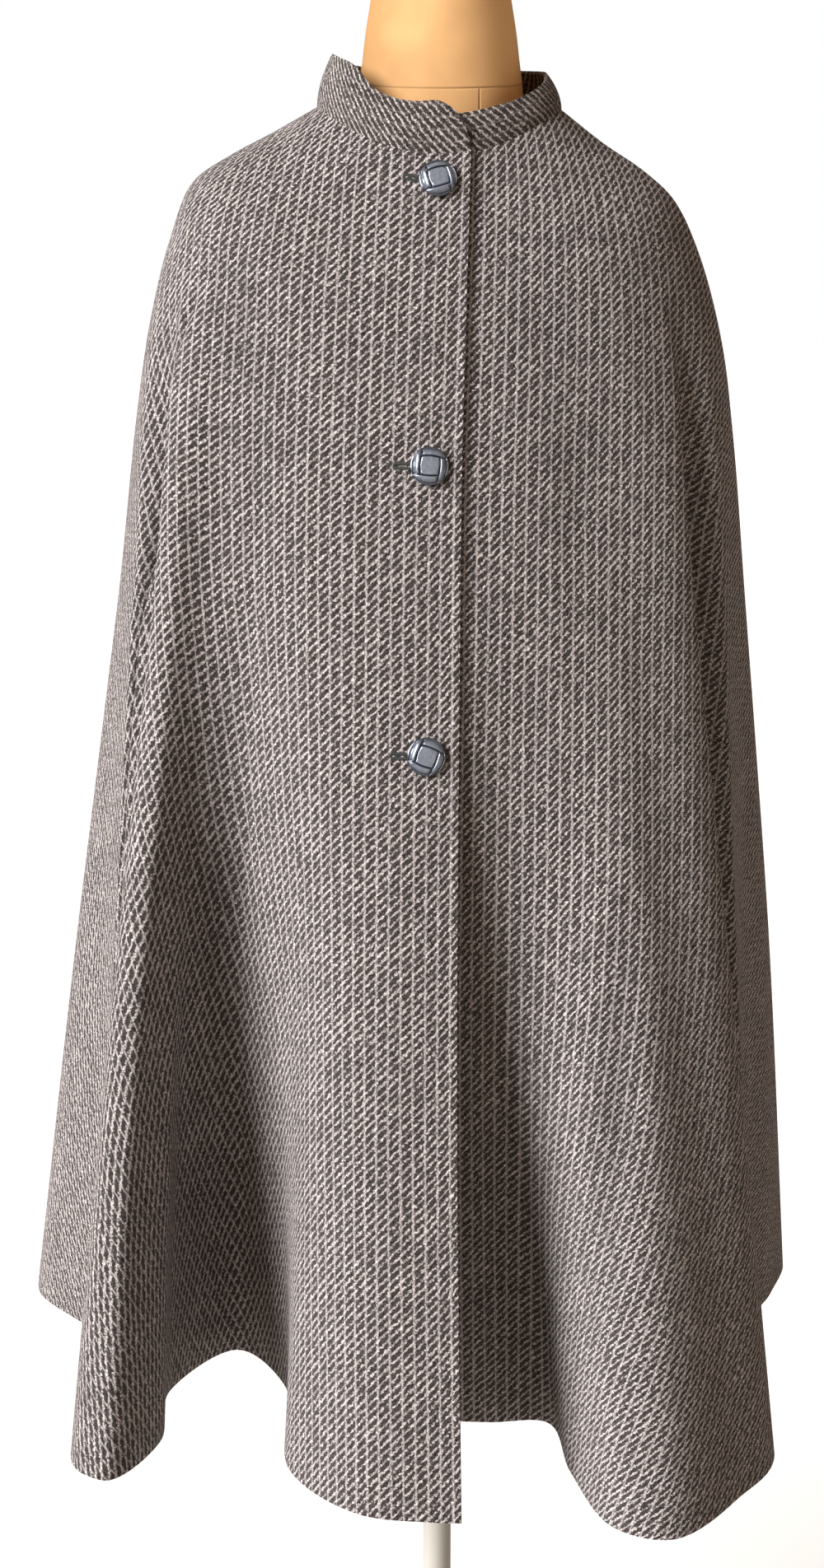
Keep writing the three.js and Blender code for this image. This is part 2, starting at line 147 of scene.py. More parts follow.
# Dress form
# A limbless torso with a neck, padded smooth and covered in tan cloth with a satin face. The cover is seamed
# round the neck and down its front, and drawn tight over the shoulders, which carry the whole coat.
def curve_through(stations, values, at):
    """The smooth curve that a bent ruler would draw through rows of values at their stations."""
    stations = np.asarray(stations, float)
    values = np.asarray(values, float).reshape(len(stations), -1)
    secants = np.diff(values, axis=0) / np.diff(stations)[:, None]
    slopes = np.concatenate([secants[:1], (secants[1:] + secants[:-1]) / 2, secants[-1:]])
    at = np.clip(np.asarray(at, float), stations[0], stations[-1])
    i = np.clip(np.searchsorted(stations, at, "right") - 1, 0, len(stations) - 2)
    gap = (stations[i + 1] - stations[i])[..., None]
    t = (at - stations[i])[..., None] / gap
    return ((2 * t**3 - 3 * t**2 + 1) * values[i] + (t**3 - 2 * t**2 + t) * gap * slopes[i]
            + (3 * t**2 - 2 * t**3) * values[i + 1] + (t**3 - t**2) * gap * slopes[i + 1])


# Half widths, depths and heights of the coat in millimetres, from the neck seam (at 0) to the hem (at 1)
coat_outline = np.array([
    # at, left, right, front, back, z front, z left, z right, z back, centre
    [0.000, 86, 84, 82, 64, 1374, 1408, 1406, 1412, -2],
    [0.037, 117, 113, 95, 79, 1343, 1391, 1384, 1388, -3],
    [0.074, 148, 142, 107, 92, 1312, 1375, 1365, 1355, -4],
    [0.104, 173, 163, 117, 101, 1287, 1358, 1346, 1328, -5],
    [0.145, 189, 181, 129, 112, 1252, 1322, 1311, 1291, -6],
    [0.216, 207, 200, 147, 129, 1190, 1256, 1246, 1225, -8],
    [0.276, 217, 209, 160, 142, 1137, 1198, 1189, 1169, -9],
    [0.400, 232, 223, 183, 166, 1027, 1079, 1074, 1053, -10],
    [0.526, 250, 238, 206, 190, 916, 957, 955, 936, -11],
    [0.700, 275, 258, 240, 224, 762, 788, 788, 773, -12],
    [1.000, 314, 286, 296, 285, 500, 500, 500, 500, -10],
])
coat_stations = coat_outline[:, 0]
coat_sizes = coat_outline[:, 1:] / 1000


def oval_point(angle, shift, down):
    """The coat without its folds: angle in degrees from the front, shift sideways on a lap."""
    angle, shift, down = np.broadcast_arrays(*[np.asarray(v, float) for v in (angle, shift, down)])
    sizes = np.moveaxis(curve_through(coat_stations, coat_sizes, down), -1, 0)
    left, right, front, back, z_front, z_left, z_right, z_back, centre = sizes
    turn = np.radians(angle)
    half = np.where(np.sin(turn) + shift < 0, left, right)
    on_lap = shift != 0
    side = np.where(on_lap, shift / half, np.sin(turn))
    ahead = np.where(on_lap, np.sqrt(np.maximum(0, 1 - side**2)), np.cos(turn))
    depth = np.where(ahead > 0, front, back)
    z_end = np.where(ahead > 0, z_front, z_back)
    z_side = np.where(side < 0, z_left, z_right)
    lean = np.where(ahead > 0, centre * ahead**2, 0)
    return np.stack([half * side + lean, -depth * ahead, z_end * ahead**2 + z_side * side**2], -1)


def unit(vectors):
    """The vectors at length 1."""
    return vectors / np.linalg.norm(vectors, axis=-1, keepdims=True)


def smoothstep(low, high, value):
    """0 up to low, 1 from high on, and a smooth rise between."""
    t = np.clip((value - low) / (high - low), 0, 1)
    return t * t * (3 - 2 * t)


def lap_drop(points):
    """How far the under front and the form lie in, to leave room for the lap."""
    drop = 0.0035 * (1 - smoothstep(0.028, 0.085, np.abs(points[..., 0])))
    return np.where(points[..., 1] > 0, 0, drop)


def shaped_grid(name, points, material, closed=False, turned_over=False):
    """A grid of cloth or skin whose vertices are moved to the given points, columns by rows by 3."""
    columns, rows = points.shape[:2]
    bm = bmesh.new()
    bmesh.ops.create_grid(bm, x_segments=columns - 1, y_segments=rows - 1, size=0.5)
    for vertex in bm.verts:
        i = round((vertex.co.x + 0.5) * (columns - 1))
        j = round((vertex.co.y + 0.5) * (rows - 1))
        vertex.co = points[i, j] + garment_centre
    if closed:
        bmesh.ops.remove_doubles(bm, verts=bm.verts, dist=0.00002)
        bmesh.ops.recalc_face_normals(bm, faces=bm.faces)
    if turned_over:
        bmesh.ops.reverse_faces(bm, faces=bm.faces)
    return object_from(bm, name, material)


# Rings of the form in metres, from the top of the neck down: half width, front, back, z front, z side, z back
neck_rings = np.array([
    [0.010, 0.010, 0.010, 1.5100, 1.5102, 1.5110],
    [0.034, 0.035, 0.035, 1.5088, 1.5096, 1.5105],
    [0.043, 0.0445, 0.044, 1.5048, 1.5060, 1.5075],
    [0.0456, 0.047, 0.046, 1.4985, 1.5000, 1.5020],
    [0.048, 0.050, 0.050, 1.4780, 1.4820, 1.4850],
    [0.052, 0.053, 0.053, 1.4500, 1.4580, 1.4620],
    [0.056, 0.057, 0.056, 1.4100, 1.4280, 1.4360],
    [0.060, 0.061, 0.058, 1.3850, 1.4090, 1.4210],
])
torso_rings = np.array([
    [0.166, 0.121, 0.100, 1.228, 1.228, 1.228],
    [0.152, 0.126, 0.096, 1.180, 1.180, 1.180],
    [0.128, 0.098, 0.084, 1.060, 1.060, 1.060],
    [0.122, 0.090, 0.082, 1.010, 1.010, 1.010],
    [0.150, 0.098, 0.100, 0.880, 0.880, 0.880],
    [0.160, 0.102, 0.108, 0.810, 0.810, 0.810],
    [0.156, 0.099, 0.104, 0.774, 0.774, 0.774],
    [0.150, 0.094, 0.099, 0.763, 0.763, 0.763],
    [0.136, 0.082, 0.087, 0.760, 0.760, 0.760],
    [0.010, 0.010, 0.010, 0.760, 0.760, 0.760],
])
form_turn = np.linspace(0, 360, 97)


def ring_points(rings):
    """The points of the form's rings, ring by ring."""
    turn = np.radians(form_turn)[None, :]
    half, front, back, z_front, z_side, z_back = [column[:, None] for column in rings.T]
    ahead, side = np.cos(turn), np.sin(turn)
    z = np.where(ahead > 0, z_front, z_back) * ahead**2 + z_side * side**2
    return np.stack([half * side, -np.where(ahead > 0, front, back) * ahead, z], -1)


cloth_wall = 0.0026
form_clearance = 0.0012
shoulder_levels = np.linspace(0.012, 0.145, 9)[:, None]
step = 0.0005
oval = oval_point(form_turn[None, :], 0, shoulder_levels)
oval_down = oval_point(form_turn[None, :], 0, shoulder_levels + step) - oval
oval_across = np.gradient(oval, axis=1)
oval_across[:, [0, -1]] = oval[:, [1, 1]] - oval[:, [-2, -2]]
inward = -unit(np.cross(oval_down, oval_across))
shoulders = oval + inward * (cloth_wall + form_clearance + lap_drop(oval)[..., None])
form_rings = np.concatenate([ring_points(neck_rings), shoulders, ring_points(torso_rings)])
ring_gaps = np.linalg.norm(np.diff(form_rings, axis=0), axis=2).mean(1)
ring_places = np.concatenate([[0], np.cumsum(ring_gaps)])
fine_places = np.linspace(0, ring_places[-1], 190)
form_points = np.stack([curve_through(ring_places, line, fine_places) for line in form_rings.swapaxes(0, 1)])

form_cloth, tree, shader = new_material("tan form cover")
place = add_node(tree, "ShaderNodeTexCoord").outputs["Object"]
axes = add_node(tree, "ShaderNodeSeparateXYZ", [("Vector", place)])


def formula(tree, operation, *values):
    """One arithmetic node, its values numbers or output sockets."""
    return add_node(tree, "ShaderNodeMath", list(enumerate(values)), operation=operation).outputs[0]


def mix_colour(tree, share, first, second):
    """The first colour where the share is 0 and the second where it is 1."""
    return add_node(tree, "ShaderNodeMix", [(0, share), (6, first), (7, second)], data_type="RGBA").outputs[2]


def give_relief(tree, shader, height, strength, distance):
    """Fine relief on the surface, distance in metres."""
    bump = add_node(tree, "ShaderNodeBump",
                    [("Height", height), ("Strength", strength), ("Distance", distance)])
    tree.links.new(bump.outputs["Normal"], shader.inputs["Normal"])


def line_mask(tree, distance, half_width):
    """1 on a line and 0 beyond its half width."""
    share = formula(tree, "DIVIDE", formula(tree, "ABSOLUTE", distance), half_width)
    return formula(tree, "SUBTRACT", 1.0, formula(tree, "MINIMUM", share, 1.0))


weave = add_node(tree, "ShaderNodeTexNoise", [("Vector", place), ("Scale", 2600.0), ("Detail", 2.0)])
cloud = add_node(tree, "ShaderNodeTexNoise", [("Vector", place), ("Scale", 14.0), ("Detail", 3.0)])
neck_seam = formula(tree, "SUBTRACT", axes.outputs["Z"], formula(
    tree, "ADD", 1.4235, formula(tree, "MULTIPLY", axes.outputs["Y"], 0.12)))
below_seam = formula(tree, "LESS_THAN", neck_seam, 0.0)
front_seam = formula(tree, "SUBTRACT", axes.outputs["X"], 0.0445)
on_front = formula(tree, "MULTIPLY", below_seam, formula(tree, "LESS_THAN", axes.outputs["Y"], 0.0))
seams = formula(tree, "MAXIMUM", line_mask(tree, neck_seam, 0.0011),
                formula(tree, "MULTIPLY", on_front, line_mask(tree, front_seam, 0.0009)))
# Painted light: the cover is painted darker on its left and lighter towards its right side, away from the
# window light, with a cloudy mottle on top.
mottle_and_painted_side_light = formula(tree, "MULTIPLY_ADD", axes.outputs["X"], 9.0, cloud.outputs["Fac"])
tone = add_node(tree, "ShaderNodeValToRGB", [("Fac", mottle_and_painted_side_light)])
tone.color_ramp.elements[0].position = 0.25
tone.color_ramp.elements[0].color = (0.44, 0.235, 0.092, 1)
tone.color_ramp.elements[1].position = 1.0
tone.color_ramp.elements[1].color = (0.84, 0.48, 0.21, 1)
seamed = mix_colour(tree, formula(tree, "MULTIPLY", seams, 0.5), tone.outputs["Color"], (0.36, 0.20, 0.08, 1))
tree.links.new(seamed, shader.inputs["Base Color"])
vary_roughness(tree, shader, cloud.outputs["Fac"], 0.70, 0.82)
shader.inputs["Specular IOR Level"].default_value = 0.25
relief = formula(tree, "SUBTRACT", formula(tree, "MULTIPLY", weave.outputs["Fac"], 0.05), seams)
give_relief(tree, shader, relief, 0.6, 0.0008)

form = shaped_grid("form_torso", form_points, form_cloth, closed=True)
bm = bmesh.new()
bm.from_mesh(form.data)
bmesh.ops.holes_fill(bm, edges=[edge for edge in bm.edges if edge.is_boundary], sides=0)
bmesh.ops.recalc_face_normals(bm, faces=bm.faces)
bm.to_mesh(form.data)
bm.free()
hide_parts("form_body")
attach(form, "root")

# Stand
# A turned steel base with a hub, and a straight tube that stands in the hub and holds the form up. Both are
# powder coated in a cream satin.
def turned(name, profile, material, sides=96):
    """A body turned from its profile of (radius, height) points round the pole's centre line."""
    bm = bmesh.new()
    vertices = [bm.verts.new((radius, 0, height)) for radius, height in profile]
    edges = [bm.edges.new(pair) for pair in zip(vertices, vertices[1:])]
    bmesh.ops.spin(bm, geom=vertices + edges, cent=(0, 0, 0), axis=(0, 0, 1), angle=2 * math.pi,
                   steps=sides, use_merge=True)
    bmesh.ops.remove_doubles(bm, verts=bm.verts, dist=0.00001)
    bmesh.ops.recalc_face_normals(bm, faces=bm.faces)
    bmesh.ops.translate(bm, verts=bm.verts, vec=Vector(garment_centre))
    return object_from(bm, name, material)


stand_coat, tree, shader = new_material("cream powder coat")
place = add_node(tree, "ShaderNodeTexCoord").outputs["Object"]
grain = add_node(tree, "ShaderNodeTexNoise", [("Vector", place), ("Scale", 1400.0), ("Detail", 2.0)])
handled = add_node(tree, "ShaderNodeTexNoise", [("Vector", place), ("Scale", 9.0), ("Detail", 4.0)])
tone = mix_colour(tree, handled.outputs["Fac"], (0.56, 0.53, 0.47, 1), (0.50, 0.47, 0.41, 1))
tree.links.new(tone, shader.inputs["Base Color"])
vary_roughness(tree, shader, handled.outputs["Fac"], 0.34, 0.5)
give_relief(tree, shader, grain.outputs["Fac"], 0.25, 0.0003)

base_profile = [
    (0.0, 0.0), (0.1715, 0.0), (0.1735, 0.0006), (0.1747, 0.002), (0.175, 0.004), (0.175, 0.009),
    (0.1742, 0.0115), (0.1725, 0.0132), (0.170, 0.014), (0.120, 0.0143), (0.060, 0.0145), (0.034, 0.0146),
    (0.027, 0.0153), (0.0235, 0.0175), (0.0222, 0.021), (0.022, 0.025), (0.022, 0.044), (0.0213, 0.0465),
    (0.0195, 0.0478), (0.0172, 0.048), (0.0112, 0.048),
]
stand_base = turned("base_plate", base_profile, stand_coat)
pole_profile = [(0.011, height) for height in (0.0302, 0.10, 0.30, 0.50, 0.72, 0.7594)]
stand_pole = turned("pole_tube", pole_profile, stand_coat, sides=48)
for piece, node in ((stand_base, "stand_base"), (stand_pole, "stand_pole")):
    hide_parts(node)
    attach(piece, "root")

# Under front of the cape, the wearer's left
# One panel of thick napped wool twill, 2.6 mm, turned in at its edges. It hangs from the collar seam over the
# shoulder and lies under the over front along the lap.
fold_line = np.array([
    # the hem's crests and valleys: x and y in millimetres, and where the fold starts on the way down
    [-30, -176, 0.40], [-9, -177, 0.40], [35, -180, 0.38], [75, -176, 0.34], [88, -246, 0.28],
    [112, -317, 0.24], [148, -331, 0.22], [200, -276, 0.20], [234, -206, 0.16], [222, -56, 0.16],
    [266, 35, 0.20], [283, 105, 0.22], [232, 155, 0.26], [222, 258, 0.26], [162, 286, 0.26],
    [118, 208, 0.28], [64, 238, 0.28], [40, 316, 0.26], [-26, 320, 0.26], [-62, 234, 0.28],
    [-120, 212, 0.28], [-170, 288, 0.26], [-236, 258, 0.26], [-250, 158, 0.26], [-314, 100, 0.22],
    [-318, 40, 0.18], [-248, -64, 0.12], [-264, -186, 0.10], [-226, -256, 0.10], [-196, -205, 0.12],
    [-196, -128, 0.16], [-152, -64, 0.20], [-113, -122, 0.24], [-103, -244, 0.28], [-55, -300, 0.34],
    [-9, -310, 0.38], [12, -311, 0.38],
])
fold_line[:, :2] /= 1000
hem_steps = 60


def hem_curve(knots):
    """A smooth line through the folds' crests and valleys, and its length so far at each of its points."""
    ends = np.concatenate([2 * knots[:1] - knots[1:2], knots, 2 * knots[-1:] - knots[-2:-1]])
    gaps = np.linalg.norm(np.diff(ends[:, :2], axis=0), axis=1)[:, None] ** 0.5
    pieces = []
    for i in range(1, len(ends) - 2):
        a, b, c, d = ends[i - 1:i + 3]
        gap_a, gap_b, gap_c = gaps[i - 1:i + 2]
        slope_b = ((b - a) / gap_a - (c - a) / (gap_a + gap_b) + (c - b) / gap_b) * gap_b
        slope_c = ((c - b) / gap_b - (d - b) / (gap_b + gap_c) + (d - c) / gap_c) * gap_b
        t = np.linspace(0, 1, hem_steps, endpoint=False)[:, None]
        pieces.append(b + slope_b * t + (3 * (c - b) - 2 * slope_b - slope_c) * t**2
                      + (2 * (b - c) + slope_b + slope_c) * t**3)
    line = np.concatenate(pieces + [knots[-1:]])
    lengths = np.concatenate([[0], np.cumsum(np.linalg.norm(np.diff(line[:, :2], axis=0), axis=1))])
    return line, lengths


hem_line, hem_lengths = hem_curve(fold_line)
hem_length = hem_lengths[-1]
hem_places = hem_lengths / hem_length
under_centre, right_seam, left_seam, over_centre = [hem_places[row * hem_steps] for row in (1, 11, 24, 35)]


def angle_round(centred):
    """The angle from the front, in degrees, that belongs to places on the hem."""
    seam_places = [under_centre, right_seam, left_seam, over_centre]
    return curve_through(seam_places, [0, 97, 263, 360], centred)[..., 0]


def cloth_point(along, down):
    """A point of the coat's outer face: along runs round the hem and down from neck to hem, from 0 to 1."""
    along, down = np.broadcast_arrays(np.asarray(along, float), np.asarray(down, float))
    centred = np.clip(along, under_centre, over_centre)
    angle = angle_round(centred)
    shift = (along - centred) * hem_length
    points = oval_point(angle, shift, down)
    plain = oval_point(angle, shift, np.ones_like(down))
    crest_x, crest_y, start = [np.interp(along, hem_places, column) for column in hem_line.T]
    run = np.maximum(0, (down - start) / (1 - start))
    swing = run * run * (3 - run) / 2
    points[..., 0] += (crest_x - plain[..., 0]) * swing
    points[..., 1] += (crest_y - plain[..., 1]) * swing
    return points


def cloth_normal(along, down):
    """The direction straight out of the coat's outer face."""
    step = 0.0005
    across = cloth_point(np.minimum(1, along + step), down) - cloth_point(np.maximum(0, along - step), down)
    downward = cloth_point(along, np.minimum(1, down + step)) - cloth_point(along, np.maximum(0, down - step))
    return unit(np.cross(downward, across))


# A soft crease is a side (-1 front, 1 back), a depth (below 0 a trough, above 0 a ridge), a half width and
# the points (x, z) it runs through as seen from that side, all in millimetres
def pressed(points, normals, creases):
    """The points moved along their normals by the soft creases, and the painted shade that darkens the
    troughs.
    """
    moved = np.zeros(points.shape[:2])
    for number, (side, depth, width, line) in enumerate(creases):
        line = np.array(line, float) / 1000
        spans = np.linalg.norm(np.diff(line, axis=0), axis=1)
        whole = spans.sum()
        nearest = np.full(points.shape[:2], 9.0)
        place = np.zeros(points.shape[:2])
        seen = points[..., [0, 2]]
        done = 0.0
        for (a, b), span in zip(zip(line, line[1:]), spans):
            t = np.clip(((seen - a) @ (b - a)) / span**2, 0, 1)
            apart = np.linalg.norm(seen - a - t[..., None] * (b - a), axis=-1)
            closer = apart < nearest
            nearest = np.where(closer, apart, nearest)
            place = np.where(closer, (done + t * span) / whole, place)
            done += span
        taper = np.sin(np.pi * np.clip(place, 0, 1)) ** 0.7
        uneven = 1 + 0.25 * np.sin(9.0 * place + 1.7 * number) + 0.12 * np.sin(23.0 * place + number)
        wide = width / 1000 * (0.75 + 0.35 * np.sin(np.pi * place))
        facing = smoothstep(0.0, 0.35, normals[..., 1] * side)
        moved += depth / 1000 * taper * uneven * np.exp(-(nearest / wide) ** 2) * facing
    # The second value is painted shade: the deeper a trough, the darker its colour is painted, up to 0.3.
    return points + normals * moved[..., None], np.clip(-moved / 0.02, 0, 0.3)


def reach_past(points, along, hem_place):
    """How far each point lies past the line that falls from the neck to a place on the hem, in metres."""
    reach = np.concatenate([np.zeros((1, points.shape[1])),
                            np.cumsum(np.linalg.norm(np.diff(points, axis=0), axis=2), axis=0)])
    place = hem_places[round(hem_place * hem_steps)]
    return reach - np.array([np.interp(place, along, column) for column in reach.T])


def narrow_crease(points, normals, along, down, hem_place, lean, depth, half_width):
    """A narrow crease that falls from below the shoulder to the hem, and how far each point is sunk in it,
    which is also the painted shade in the crease.
    """
    past = reach_past(points, along, hem_place) - lean * np.clip(0.42 - down, 0, 1)
    size = smoothstep(0.13, 0.3, down) * (0.8 + 0.2 * np.sin(11 * down + hem_place))
    sinking_and_painted_shade = size * np.exp(-(past / half_width) ** 2)
    return points - normals * (depth * sinking_and_painted_shade)[..., None], sinking_and_painted_shade


def deep_fold(points, normals, along, down, lip, outward, depth, forward_top, forward_hem):
    """A fold that hides its own valley: the cloth turns in just outside the lip, which stands forward, and
    comes forward again in a lower ridge past the valley. All of it widens on the way down."""
    away = reach_past(points, along, lip) * outward
    size = smoothstep(0.15, 0.34, down) * (0.9 + 0.1 * np.sin(9 * down + lip))
    bottom = 0.010 + 0.014 * down
    near_side, far_side = 0.007 + 0.004 * down, 0.014 + 0.006 * down
    turned_in = np.exp(-((away - bottom) / np.where(away > bottom, far_side, near_side)) ** 2)
    forward = forward_top + (forward_hem - forward_top) * down
    inner = smoothstep(-0.060 - 0.030 * down, 0.0, away)
    proud = np.where(away < 0, inner, np.exp(-(away / 0.020) ** 2)) * forward
    past_ridge = away - bottom - 0.038 - 0.014 * down
    ridge_width = 0.022 + 0.006 * down
    proud += 0.8 * depth * np.exp(-(past_ridge / ridge_width) ** 2)
    moved = points - normals * (depth * size * turned_in)[..., None]
    moved[..., 1] -= size * proud
    moved[..., 0] -= 0.22 * outward * size * proud
    return moved


def flat_pattern(points, along, centre):
    """Where each point lay in the flat cloth before it was sewn, in metres: the grain runs along the centre
    line, the neck edge is cut to an arc, and the strip past a front's centre line is straight."""
    neck_radius = 0.18
    steps_down = np.linalg.norm(np.diff(points, axis=1), axis=2)
    radius = neck_radius + np.concatenate([np.zeros((len(points), 1)), np.cumsum(steps_down, axis=1)], axis=1)
    downward = unit(np.gradient(points, axis=1))
    across = np.diff(points, axis=0)
    middle = unit(downward[1:] + downward[:-1])
    width = np.linalg.norm(np.cross(across, middle), axis=2)
    turns = 2 * width / (radius[1:] + radius[:-1])
    turn = np.concatenate([np.zeros((1, points.shape[1])), np.cumsum(turns, axis=0)])
    turn -= np.array([np.interp(centre, along, row) for row in turn.T])
    past = ((along - np.clip(along, under_centre, over_centre)) * hem_length)[:, None]
    turn = np.where(past == 0, turn, 0)
    return np.stack([radius * np.sin(turn) + past, -radius * np.cos(turn)], -1)


def lay_pattern(piece, pattern):
    """The flat pattern as the piece's UV map. The vertices are in the order of the grid: row after row."""
    mesh = piece.data
    columns, rows = pattern.shape[:2]
    corners = np.zeros(len(mesh.loops), int)
    mesh.loops.foreach_get("vertex_index", corners)
    layer = mesh.uv_layers.new(name="flat pattern")
    flat = pattern.transpose(1, 0, 2).reshape(columns * rows, 2)
    layer.data.foreach_set("uv", flat[corners].astype(np.float32).ravel())


def give_wall(piece, wall, rounding, segments):
    """The cloth's thickness, inward from its outer face, with its turned edges rounded."""
    solid = piece.modifiers.new("wall", "SOLIDIFY")
    solid.thickness = wall
    solid.offset = -1
    solid.use_even_offset = False
    edge = piece.modifiers.new("turned edge", "BEVEL")
    edge.width = rounding
    edge.segments = segments
    edge.limit_method = "ANGLE"
    edge.angle_limit = math.radians(60)


def point_values(piece, name, values):
    """A value for each point of the piece's grid, for its material to read."""
    layer = piece.data.attributes.new(name, "FLOAT", "POINT")
    layer.data.foreach_set("value", values.T.astype(np.float32).ravel())


seam_gap = 0.0003
roll_width = 0.0035


# A deep fold is its lip's place on the hem, the side its valley lies on, its depth, and how far the lip
# stands forward at the neck and at the hem. A narrow crease is its place on the hem, lean, depth, half width.
def cape_panel(name, start, end, centre, columns, rows, material, creases, folds=(), narrow=(), drop=None):
    """A panel of the cape from one place on the hem to another. Its side seam edge rolls in where it is sewn,
    and the over front's edge rolls out."""
    along = np.linspace(start, end, columns)
    for seam in (right_seam, left_seam):
        if start == seam:
            along[0] += seam_gap / 2 / hem_length
        if end == seam:
            along[-1] -= seam_gap / 2 / hem_length
    down = np.linspace(0, 1, rows)[None, :]
    points = cloth_point(along[:, None], down)
    normals = cloth_normal(along[:, None], down)
    depth = np.zeros(points.shape[:2])
    if drop is not None:
        depth += drop(points)
    across = np.linalg.norm(np.diff(points, axis=0), axis=2)
    reach = np.concatenate([np.zeros((1, rows)), np.cumsum(across, axis=0)])
    for seam, distance in ((start, reach), (end, reach[-1:] - reach)):
        if seam in (right_seam, left_seam):
            depth += 0.0014 * np.exp(-(distance / roll_width) ** 2)
    if end == 1.0:
        depth -= 0.0010 * np.exp(-((reach[-1:] - reach) / roll_width) ** 2)
    points, painted_crease_shade = pressed(points, normals, creases)
    for fold in folds:
        points = deep_fold(points, normals, along, down, *fold)
    # Each narrow crease sinks the cloth and paints a darker shade along it.
    for crease in narrow:
        points, sinking_and_painted_shade = narrow_crease(points, normals, along, down, *crease)
        painted_crease_shade = np.maximum(painted_crease_shade, sinking_and_painted_shade)
    pattern = flat_pattern(points, along, centre)
    points = points - normals * depth[..., None]
    panel = shaped_grid(name, points, material, turned_over=True)
    lay_pattern(panel, pattern)
    # The painted crease shade, kept on the grid's points for the cloth's colour.
    point_values(panel, "crease", painted_crease_shade)
    give_wall(panel, cloth_wall, 0.0011, 3)
    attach(panel, "root")
    return panel


